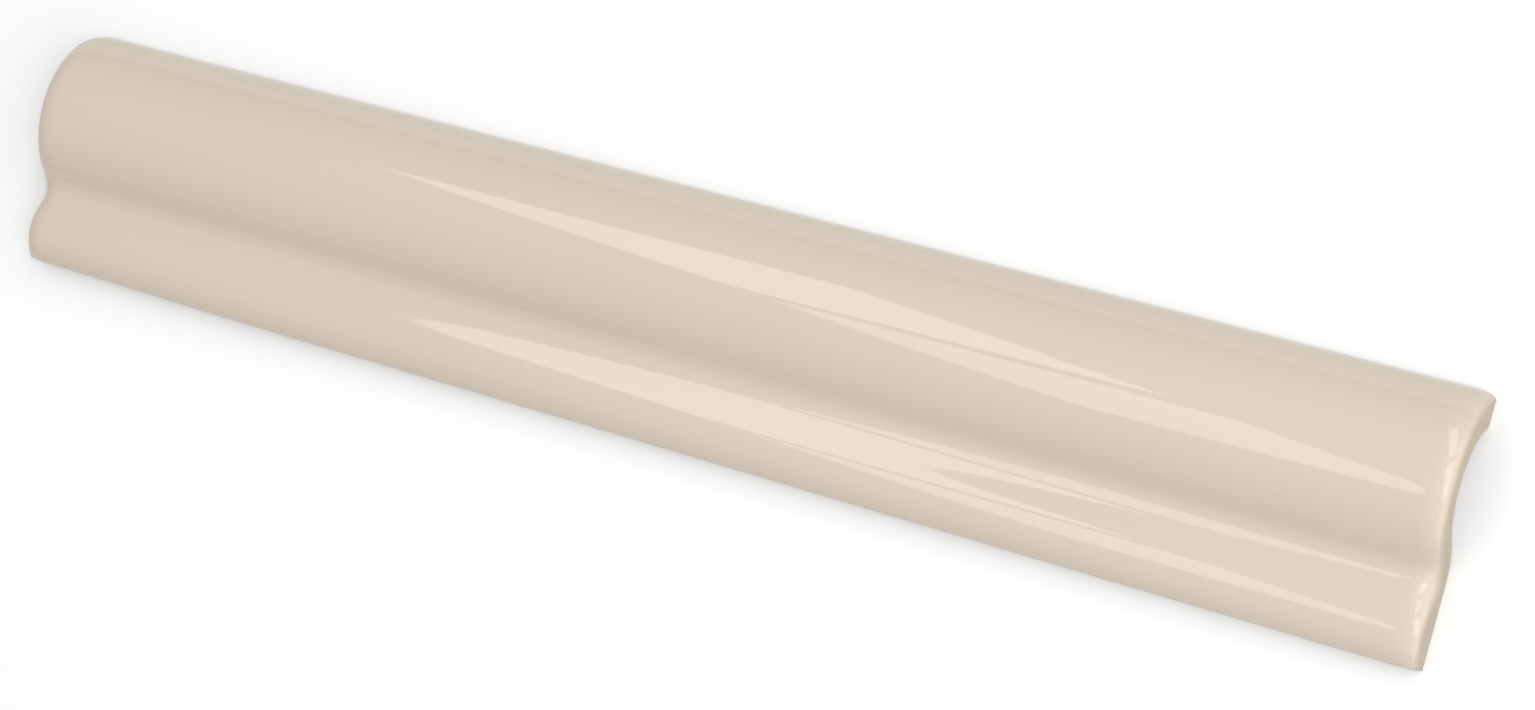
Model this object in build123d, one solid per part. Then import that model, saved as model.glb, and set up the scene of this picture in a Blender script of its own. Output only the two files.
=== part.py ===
from build123d import *
from math import atan2, cos, degrees, radians, sin, sqrt
import os

# A glazed ceramic wall trim tile: one long piece of fired clay with a moulded front.
# Seen from an end, the front is a large half-round bullnose along the top edge,
# a hollow cove below it and a small half-round bead along the bottom edge.
# The back is flat, with one lengthwise hollow under the bullnose that keeps the
# wall of the tile even and takes the adhesive. The hollow is open at both ends.
#
# The tile lies on its back. +X runs along its length, +Y across it from the bead
# to the bullnose, and +Z out of the moulded front. The origin is the centre of
# the footprint, on the plane of the back. All sizes are in millimetres.

# Overall size
tile_length = 300.0
tile_width = 49.0
tile_thickness = 14.3  # at the bullnose's crest

# Bead along the bottom edge: part of a circle, with a rounded nose
bead_zone = 15.2  # from the bottom edge to the bullnose's foot
bead_height = 8.1
bead_radius = 10.1
bead_crest_inset = 7.1  # from the bottom edge to the bead's crest
bead_nose_radius = 3.0

# Cove: one smooth curve from the bead's far side to the bullnose's near side
bead_lean = 12.8  # degrees that the bead's surface slopes where the cove begins
bullnose_lean = 47.4  # degrees that the bullnose's surface slopes where the cove ends
cove_run_out = 2.4  # how far the bead's slope carries on into the cove
cove_run_up = 4.4  # how far the bullnose's slope reaches down into the cove

# Hollow in the back, an arch of a circle under the bullnose's crest
crown_wall = 5.3  # clay left between the arch and the bullnose's crest
foot_wall = 6.1  # clay left between the arch's foot and the bullnose's, on the back's plane
hollow_flare_radius = 9.5  # rounds the hollow's edge on the bead side
hollow_lip_radius = 0.8  # rounds its edge on the top side

# Ends, where the glaze rolls over the edge of the front
end_edge_radius = 1.8

bottom_edge_y = -tile_width / 2
top_edge_y = tile_width / 2
bead_crest_y = bottom_edge_y + bead_crest_inset
bullnose_reach = (tile_width - bead_zone) / 2  # from its crest to either foot
bullnose_crest_y = top_edge_y - bullnose_reach
hollow_depth = tile_thickness - crown_wall
hollow_half_width = bullnose_reach - foot_wall
hollow_radius = (hollow_half_width**2 + hollow_depth**2) / (2 * hollow_depth)
on_plane = 1e-6  # how near to a plane counts as on it


def bead_arc():
    """The top of the bead, a circle's arc from the bottom edge to where the cove begins."""
    centre_z = bead_height - bead_radius
    side = (bottom_edge_y, centre_z + sqrt(bead_radius**2 - bead_crest_inset**2))
    crest = (bead_crest_y, bead_height)
    lean = radians(bead_lean)
    cove_start = (bead_crest_y + bead_radius * sin(lean), centre_z + bead_radius * cos(lean))
    return ThreePointArc(side, crest, cove_start)


def bullnose_arc():
    """Half an ellipse that stands on the back's plane, from the top edge to where the cove ends."""
    lean = radians(bullnose_lean)
    turn = atan2(tile_thickness * cos(lean), -bullnose_reach * sin(lean))
    centre = (bullnose_crest_y, 0)
    return EllipticalCenterArc(centre, bullnose_reach, tile_thickness, arc_size=degrees(turn))


def section():
    """The tile's section at its left end, with its nose and hollow still sharp."""
    bead = bead_arc()
    bullnose = bullnose_arc()
    cove = Bezier(
        bead @ 1,
        bead @ 1 + cove_run_out * (bead % 1),
        bullnose @ 1 + cove_run_up * (bullnose % 1),
        bullnose @ 1,
    )
    side = Line((bottom_edge_y, 0), bead @ 0)
    back = Line((bottom_edge_y, 0), (top_edge_y, 0))
    body = make_face([side, bead, cove, bullnose, back])
    arch_centre = Pos(bullnose_crest_y, hollow_depth - hollow_radius)
    outline = body - arch_centre * Circle(hollow_radius)
    return Plane.YZ.offset(-tile_length / 2) * outline


def long_edges(body):
    """The edges that run the whole length of the tile."""
    return body.edges().filter_by(Axis.X)


def back_edges(body):
    """The long edges on the plane of the back, from the bottom of the tile to its top."""
    return long_edges(body).filter_by(lambda edge: abs(edge.center().Z) < on_plane).sort_by(Axis.Y)


def round_long_edges(body):
    """Rounds the bead's nose and both edges of the hollow."""
    below_bead = long_edges(body).filter_by(lambda edge: edge.center().Y < bead_crest_y)
    body = fillet(below_bead.sort_by(Axis.Z)[-1], bead_nose_radius)
    body = fillet(back_edges(body)[1], hollow_flare_radius)
    return fillet(back_edges(body)[-2], hollow_lip_radius)


def is_front(face):
    """Whether a long face belongs to the moulded front: it faces out or sideways, not back."""
    normal = face.normal_at(face.center())
    return abs(normal.X) < on_plane and normal.Z > -on_plane


def round_end_edges(body):
    """Rounds the edges of the moulded front at both ends, down to the back."""
    ends = body.faces().filter_by(Axis.X)
    front_edges = body.faces().filter_by(is_front).edges()
    rims = [edge for edge in ends.edges() if any(edge.is_same(other) for other in front_edges)]
    return fillet(rims, end_edge_radius)


def trim_tile():
    """The whole tile, one piece of fired clay."""
    body = extrude(section(), tile_length)
    return round_end_edges(round_long_edges(body))


os.makedirs("parts", exist_ok=True)
export_step(trim_tile(), "parts/trim_tile.step")
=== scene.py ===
import math

import bpy
import numpy as np
from mathutils import Matrix, Vector, noise


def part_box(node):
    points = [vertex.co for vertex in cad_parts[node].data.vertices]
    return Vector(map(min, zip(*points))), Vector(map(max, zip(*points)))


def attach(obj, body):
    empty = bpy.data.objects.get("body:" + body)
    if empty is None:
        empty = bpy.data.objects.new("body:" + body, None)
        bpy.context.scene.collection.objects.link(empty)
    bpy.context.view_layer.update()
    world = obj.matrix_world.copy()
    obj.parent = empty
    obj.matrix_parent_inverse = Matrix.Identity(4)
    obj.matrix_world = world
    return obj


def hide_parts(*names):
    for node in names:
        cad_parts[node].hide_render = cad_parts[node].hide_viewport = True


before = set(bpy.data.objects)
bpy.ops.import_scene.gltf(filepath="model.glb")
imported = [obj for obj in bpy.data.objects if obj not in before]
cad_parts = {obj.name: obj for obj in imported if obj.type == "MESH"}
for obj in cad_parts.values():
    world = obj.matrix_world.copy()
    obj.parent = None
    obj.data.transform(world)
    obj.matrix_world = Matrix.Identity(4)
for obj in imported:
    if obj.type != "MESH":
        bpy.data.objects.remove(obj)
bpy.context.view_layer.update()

# All lengths are in metres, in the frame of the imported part: the tile lies on its back,
# +X along it, +Y from the bead to the bullnose, +Z out of the moulded front.
MM = 0.001
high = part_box("trim_tile")[1]
half_length = high.x
half_width = high.y
thickness = high.z

# The section, as the part has it
bead_zone = 15.2 * MM
bead_height = 8.1 * MM
bead_radius = 10.1 * MM
bead_crest_inset = 7.1 * MM
nose_radius = 3.0 * MM
bead_lean = math.radians(12.8)
bullnose_lean = math.radians(47.4)
cove_run_out = 2.4 * MM
cove_run_up = 4.4 * MM
crown_wall = 5.3 * MM
foot_wall = 6.1 * MM
flare_radius = 9.5 * MM
lip_radius = 0.8 * MM

# Finer shapes that only this model has
foot_radius = 0.4 * MM  # softens the long edges of the back
roll_run = 4.5 * MM  # how far along the tile the glaze rolls over each end
roll_drop = 1.55 * MM  # and how far it comes down there
bead_saving = 0.8  # the share of that drop which the bead's upright side doesn't have
bullnose_saving = 0.25  # and the share that the bullnose's doesn't
cove_drop = 1.45 * MM  # the roll comes down this much further in the cove
cove_drop_y = -10.0 * MM  # most of all here
cove_drop_reach = 2.3 * MM  # and it fades over this distance to either side
bow = 0.42 * MM  # how far the bead's long edge draws in at the left end, a slight warp
bow_start = 0.55  # the share of the half length where it starts to
back_edge = 0.3 * MM  # the worn edge between the end faces and the back
back_spread = 0.2  # how much nearer to the middle the back's points under the crest lie
side_bare = 0.9 * MM  # the glaze stops this far above the back
surface_wave = 0.02 * MM  # the glaze's slow unevenness
surface_wave_length = 26 * MM

# How finely the mesh follows the shape
foot_points = 30  # points that draw each piece of the section, before they are spaced evenly
nose_points = 200
curve_points = 600
bullnose_points = 1600
columns = 240  # across the section
rows = 96  # along the tile, between the rolled ends
roll_rows = 18  # round each rolled end
crease_angle = math.radians(30)  # edges that turn by more are shaded as sharp

# Colours and finish; colours are linear
glaze_light = (0.726, 0.630, 0.516, 1)
glaze_deep = (0.710, 0.614, 0.499, 1)
# painted shade: a darker glaze colour near the glaze's edge, along the sides and at the rolled ends
glaze_painted_shade = (0.600, 0.505, 0.385, 1)
painted_shade_reach = 0.7 * MM  # painted shade: the glaze is coloured darker this near its edge, for the darker surroundings it reflects there
glaze_ior = 1.5
glaze_roughness = 0.05
shine_change = 0.012  # how much the roughness varies either way
ripple_height = 0.002 * MM
clay_light = (0.65, 0.56, 0.44, 1)
clay_dark = (0.55, 0.47, 0.365, 1)
clay_speck = (0.42, 0.34, 0.25, 1)
clay_roughness = 0.8
relief_height = 0.05 * MM
bare_depth = -1 * MM  # stands for no glaze at all, on the end faces and the back
edge_raggedness = 0.12 * MM  # how far the glaze's edge wanders either way
edge_softness = 0.06 * MM  # it fades out over this distance either way
speck_start = 0.62  # cloud values between which a speck darkens
speck_full = 0.75

# Random clouds: size, detail and roughness of each
edge_cloud = (2.5 * MM, 3.0, 0.5)
tone_cloud = (35 * MM, 2.0, 0.5)
shine_cloud = (12 * MM, 4.0, 0.5)
ripple_cloud = (3.5 * MM, 1.0, 0.5)
grain_cloud = (0.35 * MM, 4.0, 0.7)
speck_cloud = (0.5 * MM, 2.0, 0.5)
relief_cloud = (0.45 * MM, 5.0, 0.65)

# Studio: place and size of each lamp in metres, roll in degrees, and radiance
lamps = (
    ("softbox_left_far", (-0.406, 0.321, 0.856), (0.252, 0.451), 22.8, 2.57),
    ("softbox_left_near", (-0.226, -0.121, 0.967), (0.249, 0.413), 21.6, 2.13),
    ("softbox_right_far", (0.306, 0.753, 0.801), (0.290, 0.683), 38.2, 2.5),
    ("softbox_right_near", (0.643, 0.066, 0.991), (0.345, 0.711), 17.4, 2.7),
    ("key_right", (1.0, -0.1, 0.6), (2.4, 1.0), 90.0, 1.15),
)
world_white = (1, 1, 1, 1)
world_strength = 0.483
floor_reach = 6.0
floor_gap = 0.02 * MM  # keeps the floor from showing through the flat back
floor_grey = (0.45, 0.45, 0.45, 1)  # for the light that the floor throws back
floor_white = (0.88, 0.88, 0.88, 1)  # for what the camera and the glaze see of it
floor_glow = (1, 1, 1, 1)
floor_lift = 0.15  # strength of the glow that brings it up to white, for them only

# Camera: where it stands, the direction from its target back to it, and the picture's X axis
camera_place = (0.27505, 0.01035, 0.55558)
camera_away = (0.421993, 0.020804, 0.906360)
camera_across = (0.87339, 0.25903, -0.41242)
camera_lens = 77.07  # this and the sensor's width are in millimetres
camera_sensor = 36.0

bead_crest_y = bead_crest_inset - half_width
reach = half_width - bead_zone / 2
bullnose_y = half_width - reach
hollow_depth = thickness - crown_wall
hollow_half = reach - foot_wall
hollow_radius = (hollow_half**2 + hollow_depth**2) / (2 * hollow_depth)


def arc(centre, radius, start, end, count):
    """Points round a circle, from one angle to another."""
    turn = np.linspace(start, end, count)
    return np.column_stack([centre[0] + radius * np.cos(turn), centre[1] + radius * np.sin(turn)])


def bead_outline():
    """The bead with its foot and nose, as (y, z) points up from the bottom edge's foot."""
    bead_z = bead_height - bead_radius
    foot_centre = (foot_radius - half_width, foot_radius)
    foot = arc(foot_centre, foot_radius, 1.5 * math.pi, math.pi, foot_points)
    nose_y = nose_radius - half_width
    across = nose_y - bead_crest_y
    nose_z = bead_z + math.sqrt((bead_radius - nose_radius) ** 2 - across**2)
    nose_end = math.atan2(nose_z - bead_z, across)
    nose = arc((nose_y, nose_z), nose_radius, math.pi, nose_end, nose_points)
    top_end = math.pi / 2 - bead_lean
    top = arc((bead_crest_y, bead_z), bead_radius, nose_end, top_end, curve_points)
    return np.concatenate([foot, nose, top[1:]])


def bullnose_outline():
    """The bullnose, half an ellipse on the back's plane, and the top edge's foot."""
    turn = math.atan2(thickness * math.cos(bullnose_lean), -reach * math.sin(bullnose_lean))
    sweep = np.linspace(turn, math.asin(foot_radius / thickness), bullnose_points)
    bullnose = np.column_stack([bullnose_y + reach * np.cos(sweep), thickness * np.sin(sweep)])
    foot_centre = (bullnose[-1, 0] - foot_radius, foot_radius)
    foot = arc(foot_centre, foot_radius, 0, -math.pi / 2, foot_points)
    return np.concatenate([bullnose, foot[1:]])


def cove_outline(start, end):
    """The cove, one cubic curve from the bead to the bullnose, without its own two ends."""
    bead_way = np.array([math.cos(bead_lean), -math.sin(bead_lean)])
    bullnose_way = np.array([-math.cos(bullnose_lean), -math.sin(bullnose_lean)])
    t = np.linspace(0, 1, curve_points)[1:-1, None]
    return (
        (1 - t) ** 3 * start
        + 3 * t * (1 - t) ** 2 * (start + cove_run_out * bead_way)
        + 3 * t**2 * (1 - t) * (end + cove_run_up * bullnose_way)
        + t**3 * end
    )


def front_outline():
    """The front of the section as (y, z) points, from the bottom edge's foot to the top edge's."""
    bead = bead_outline()
    bullnose = bullnose_outline()
    return np.concatenate([bead, cove_outline(bead[-1], bullnose[0]), bullnose])


def evenly(points, count):
    """The same outline as evenly spaced points, with the outward normal at each."""
    steps = np.hypot(*np.diff(points, axis=0).T)
    along = np.concatenate([[0], np.cumsum(steps)])
    wanted = np.linspace(0, along[-1], count)
    even = np.column_stack([np.interp(wanted, along, points[:, k]) for k in (0, 1)])
    way = np.gradient(even, axis=0)
    normals = np.column_stack([-way[:, 1], way[:, 0]])
    normals[0], normals[-1] = (0, -1), (0, -1)
    return even, normals / np.linalg.norm(normals, axis=1)[:, None]


def edge_centre(radius, side):
    """The Y of the circle that rounds one edge of the hollow: side is -1 for the bead's, 1 for the top's."""
    arch_z = hollow_depth - hollow_radius
    return bullnose_y + side * math.sqrt((hollow_radius + radius) ** 2 - (radius - arch_z) ** 2)


def back_height(y):
    """How high the back stands off its plane: nothing on the flat lands, and the arch of the hollow."""
    arch_z = hollow_depth - hollow_radius
    height = arch_z + np.sqrt(np.maximum(hollow_radius**2 - (y - bullnose_y) ** 2, 0))
    for radius, side in ((flare_radius, -1), (lip_radius, 1)):
        centre = edge_centre(radius, side)
        meet = centre - side * radius * abs(bullnose_y - centre) / (hollow_radius + radius)
        rounded = radius - np.sqrt(np.maximum(radius**2 - (y - centre) ** 2, 0))
        height = np.where(side * (y - meet) > 0, rounded, height)
        height = np.where(side * (y - centre) > 0, 0, height)
    return height


def roll_shape(y, rise):
    """How far the glaze comes down at the ends, by the place across the tile and the normal's rise."""
    upright = 1 - np.maximum(rise, 0)
    saving = np.where(y < 0, bead_saving, bullnose_saving)
    in_cove = np.exp(-(((y - cove_drop_y) / cove_drop_reach) ** 2))
    return roll_drop * (1 - saving * upright**2) + cove_drop * in_cove


def front_grid(outline, normals):
    """The glazed front: rows of the outline along the tile, rolled over at both ends."""
    y, z = outline.T
    # Where the section doesn't face up, the roll goes straight in
    sideways = np.column_stack([np.sign(y), 0 * y])
    outward = np.where(normals[:, 1:] > 0, normals, sideways)
    drop = roll_shape(y, normals[:, 1])
    turns = np.linspace(0, math.pi / 2, roll_rows + 1)[1:]
    places = [(share * (half_length - roll_run), 0) for share in np.linspace(-1, 1, rows + 1)]
    right = [(half_length - roll_run * (1 - math.sin(t)), 1 - math.cos(t)) for t in turns]
    left = [(-x, sink) for x, sink in right[::-1]]
    grid = []
    for x, sink in left + places + right:
        inward = sink * drop
        grid.append(np.column_stack([0 * y + x, y - inward * outward[:, 0], z - inward * outward[:, 1]]))
    return np.array(grid)


def bowed(front):
    """Draws the bead's long edge in towards the left end, a slight warp."""
    share = np.clip((-front[:, :, 0] / half_length - bow_start) / (1 - bow_start), 0, 1)
    beside_cove = np.clip((cove_drop_y - front[:, :, 1]) / (half_width + cove_drop_y), 0, 1)
    front[:, :, 1] += bow * share**2 * (3 - 2 * share) * beside_cove
    return front


def unevenness(points):
    """Slow random waves in the glaze, from nothing to the full height inwards."""
    values = [noise.noise(Vector(p) / surface_wave_length) for p in points.reshape(-1, 3)]
    return surface_wave * (0.5 + 0.5 * np.array(values)).reshape(points.shape[:2])


def back_grid(outline, front):
    """The back, row by row under the front, with the hollow along it."""
    within = 1 - back_spread * outline[:, 1] / thickness
    bead_side = front[:, :1, 1] / outline[0, 0]
    top_side = front[:, -1:, 1] / outline[-1, 0]
    y = outline[:, 0] * within * np.where(outline[:, 0] < 0, bead_side, top_side)
    x = front[:, :1, 0] * (1 - back_edge / half_length)
    return np.stack([x + 0 * y, y, back_height(y)], axis=2)


def tile_grids():
    """The points of the front and of the back, row by row along the tile."""
    outline, normals = evenly(front_outline(), columns + 1)
    front = bowed(front_grid(outline, normals))
    inward = unevenness(front)
    front[:, :, 1] -= inward * normals[:, 0]
    front[:, :, 2] = np.maximum(front[:, :, 2] - inward * normals[:, 1], 0)
    return front, back_grid(outline, front)


def end_edge(front, back, row):
    """The worn edge of one end face, a little way up from the back's own last row."""
    edge = back[row, 1:-1].copy()
    edge[:, 0] = front[row, 0, 0]
    edge[:, 2] += back_edge
    return edge[None]


def weave(faces, grid, flip):
    """Adds the faces between the rows of a grid of point numbers; where two points are one, a triangle."""
    for near, far in zip(grid[:-1], grid[1:]):
        for i in range(len(near) - 1):
            ring = [int(v) for v in (near[i], far[i], far[i + 1], near[i + 1])]
            ring = [v for k, v in enumerate(ring) if v != ring[k - 1]]
            if len(ring) > 2:
                faces.append(ring[::-1] if flip else ring)


def make_tile():
    """One closed mesh: the front, the back and both end faces, with the glaze's depth at each point."""
    front, back = tile_grids()
    points, depths, faces = [], [], []

    def add(grid, depth):
        first = len(points)
        points.extend(grid.reshape(-1, 3).tolist())
        depths.extend((depth + np.zeros(grid.shape[:2])).reshape(-1).tolist())
        return first + np.arange(grid.shape[0] * grid.shape[1]).reshape(grid.shape[:2])

    from_end = half_length - np.abs(front[:, :, 0])
    front_ids = add(front, np.minimum(from_end, front[:, :, 2] - side_bare))
    inner_ids = add(back[:, 1:-1], bare_depth)
    back_ids = np.column_stack([front_ids[:, 0], inner_ids, front_ids[:, -1]])
    weave(faces, front_ids, False)
    weave(faces, back_ids, True)
    for row, flip in ((0, True), (-1, False)):
        edge_ids = add(end_edge(front, back, row), bare_depth)[0]
        edge_ids = np.concatenate([front_ids[row][:1], edge_ids, front_ids[row][-1:]])
        weave(faces, np.stack([front_ids[row], edge_ids, back_ids[row]]), flip)
    mesh = bpy.data.meshes.new("trim_tile_glazed")
    mesh.from_pydata(points, [], faces)
    mesh.attributes.new("glaze_edge", "FLOAT", "POINT").data.foreach_set("value", depths)
    mesh.shade_smooth()
    mesh.set_sharp_from_angle(angle=crease_angle)
    mesh.validate()
    tile = bpy.data.objects.new("glazed_trim_tile", mesh)
    bpy.context.scene.collection.objects.link(tile)
    return tile


def node(tree, kind, **settings):
    """A new node with the given settings."""
    made = tree.nodes.new(kind)
    for name, value in settings.items():
        setattr(made, name, value)
    return made


def join(tree, source, target):
    tree.links.new(source, target)


def feed(tree, place, term):
    """Gives an input what it needs, a socket's value or a constant."""
    if isinstance(term, bpy.types.NodeSocket):
        join(tree, term, place)
    else:
        place.default_value = term


def maths(tree, operation, *terms):
    """The result of a Math node over sockets and plain numbers."""
    made = node(tree, "ShaderNodeMath", operation=operation)
    for place, term in zip(made.inputs, terms):
        feed(tree, place, term)
    return made.outputs[0]


def cloud(tree, kind):
    """Random cloudiness in the tile's own space, from 0 to 1."""
    size, detail, roughness = kind
    place = node(tree, "ShaderNodeTexCoord")
    made = node(tree, "ShaderNodeTexNoise")
    made.inputs["Scale"].default_value = 1 / size
    made.inputs["Detail"].default_value = detail
    made.inputs["Roughness"].default_value = roughness
    join(tree, place.outputs["Object"], made.inputs["Vector"])
    return made.outputs["Fac"]


def fade(tree, value, none, full, curve="SMOOTHSTEP"):
    """A share that is 0 where the value is none, and 1 where it is full."""
    made = node(tree, "ShaderNodeMapRange", interpolation_type=curve)
    made.inputs["From Min"].default_value = none
    made.inputs["From Max"].default_value = full
    join(tree, value, made.inputs["Value"])
    return made.outputs["Result"]


def blend(tree, share, first, second, kind="RGBA"):
    """The first colour or number where the share is 0, and the second where it is 1."""
    mix = node(tree, "ShaderNodeMix", data_type=kind)
    places = [k for k in mix.inputs if k.enabled and k.name in ("A", "B")]
    join(tree, share, mix.inputs[0])
    for place, term in zip(places, (first, second)):
        feed(tree, place, term)
    return [k for k in mix.outputs if k.enabled][0]


def new_material(name):
    """A material with its node tree and its Principled BSDF."""
    material = bpy.data.materials.new(name)
    material.use_nodes = True
    return material, material.node_tree, material.node_tree.nodes["Principled BSDF"]


def glaze_colour(tree, depth):
    """Cream, a little uneven, with painted shade that darkens it near the glaze's edge."""
    tone = blend(tree, cloud(tree, tone_cloud), glaze_deep, glaze_light)
    # painted shade: darker towards the glaze's edge
    return blend(tree, fade(tree, depth, painted_shade_reach, 0.0), tone, glaze_painted_shade)


def glaze_shine(tree):
    """The glaze's roughness, which varies slowly."""
    least = glaze_roughness - shine_change
    return maths(tree, "MULTIPLY_ADD", cloud(tree, shine_cloud), 2 * shine_change, least)


def clay_colour(tree):
    """Fired clay: a fine grain with darker specks."""
    grain = blend(tree, cloud(tree, grain_cloud), clay_dark, clay_light)
    specks = fade(tree, cloud(tree, speck_cloud), speck_start, speck_full, "LINEAR")
    return blend(tree, specks, grain, clay_speck)


def glazed_ceramic():
    """Cream glaze on the front, and bare fired clay on the end faces and the back."""
    material, tree, shader = new_material("glazed_ceramic")
    shader.inputs["IOR"].default_value = glaze_ior
    edge = node(tree, "ShaderNodeAttribute", attribute_name="glaze_edge").outputs["Fac"]
    ragged = maths(tree, "MULTIPLY_ADD", cloud(tree, edge_cloud), 2 * edge_raggedness, -edge_raggedness)
    depth = maths(tree, "ADD", edge, ragged)
    bare = fade(tree, depth, edge_softness, -edge_softness)
    colour = blend(tree, bare, glaze_colour(tree, depth), clay_colour(tree))
    join(tree, colour, shader.inputs["Base Color"])
    roughness = blend(tree, bare, glaze_shine(tree), clay_roughness, "FLOAT")
    join(tree, roughness, shader.inputs["Roughness"])
    ripple = maths(tree, "MULTIPLY", cloud(tree, ripple_cloud), ripple_height)
    relief = maths(tree, "MULTIPLY", cloud(tree, relief_cloud), relief_height)
    bump = node(tree, "ShaderNodeBump")
    bump.inputs["Distance"].default_value = 1.0
    join(tree, blend(tree, bare, ripple, relief, "FLOAT"), bump.inputs["Height"])
    join(tree, bump.outputs["Normal"], shader.inputs["Normal"])
    return material


def floor_paper():
    """Paper that the camera and the glaze see as white, and that throws back less light than that."""
    material, tree, shader = new_material("floor_paper")
    shader.inputs["Roughness"].default_value = 1.0
    shader.inputs["Specular IOR Level"].default_value = 0.0
    rays = node(tree, "ShaderNodeLightPath")
    seen = maths(tree, "MAXIMUM", rays.outputs["Is Camera Ray"], rays.outputs["Is Glossy Ray"])
    seen = maths(tree, "MAXIMUM", seen, rays.outputs["Is Transmission Ray"])
    join(tree, blend(tree, seen, floor_grey, floor_white), shader.inputs["Base Color"])
    shader.inputs["Emission Color"].default_value = floor_glow
    join(tree, maths(tree, "MULTIPLY", seen, floor_lift), shader.inputs["Emission Strength"])
    return material


def lay_floor():
    """A level sheet of paper under the tile."""
    mesh = bpy.data.meshes.new("studio_floor")
    signs = [(-1, -1), (1, -1), (1, 1), (-1, 1)]
    corners = [(x * floor_reach, y * floor_reach, -floor_gap) for x, y in signs]
    mesh.from_pydata(corners, [], [(0, 1, 2, 3)])
    floor = bpy.data.objects.new("studio_floor", mesh)
    bpy.context.scene.collection.objects.link(floor)
    mesh.materials.append(floor_paper())


def stand(name, data, place, away, across):
    """Puts a lamp or a camera in its place, looking against away, its own X axis near across."""
    made = bpy.data.objects.new(name, data)
    away = Vector(away).normalized()
    across = Vector(across)
    across = (across - across.dot(away) * away).normalized()
    axes = Matrix((across, away.cross(across), away)).transposed().to_4x4()
    made.matrix_world = Matrix.Translation(place) @ axes
    bpy.context.scene.collection.objects.link(made)
    return made


def softbox(name, place, size, roll, radiance):
    """A rectangular lamp that faces the tile; its first side is turned by roll from the X axis."""
    data = bpy.data.lights.new(name, "AREA")
    data.shape = "RECTANGLE"
    data.size, data.size_y = size
    data.energy = radiance * math.pi * data.size * data.size_y
    stand(name, data, place, place, (math.cos(roll), math.sin(roll), 0))


def light_studio():
    """The lamps, and an even surround."""
    for name, place, size, roll, radiance in lamps:
        softbox(name, place, size, math.radians(roll), radiance)
    world = bpy.data.worlds.new("studio")
    bpy.context.scene.world = world
    world.use_nodes = True
    world.node_tree.nodes["Background"].inputs["Color"].default_value = world_white
    world.node_tree.nodes["Background"].inputs["Strength"].default_value = world_strength


def place_camera():
    """The camera, which looks down on the tile from beyond its right end."""
    data = bpy.data.cameras.new("camera")
    data.sensor_width = camera_sensor
    data.lens = camera_lens
    bpy.context.scene.camera = stand("camera", data, camera_place, camera_away, camera_across)


tile = make_tile()
tile.data.materials.append(glazed_ceramic())
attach(tile, "root")
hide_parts("trim_tile")
lay_floor()
light_studio()
place_camera()
bpy.context.scene.view_settings.view_transform = "Standard"
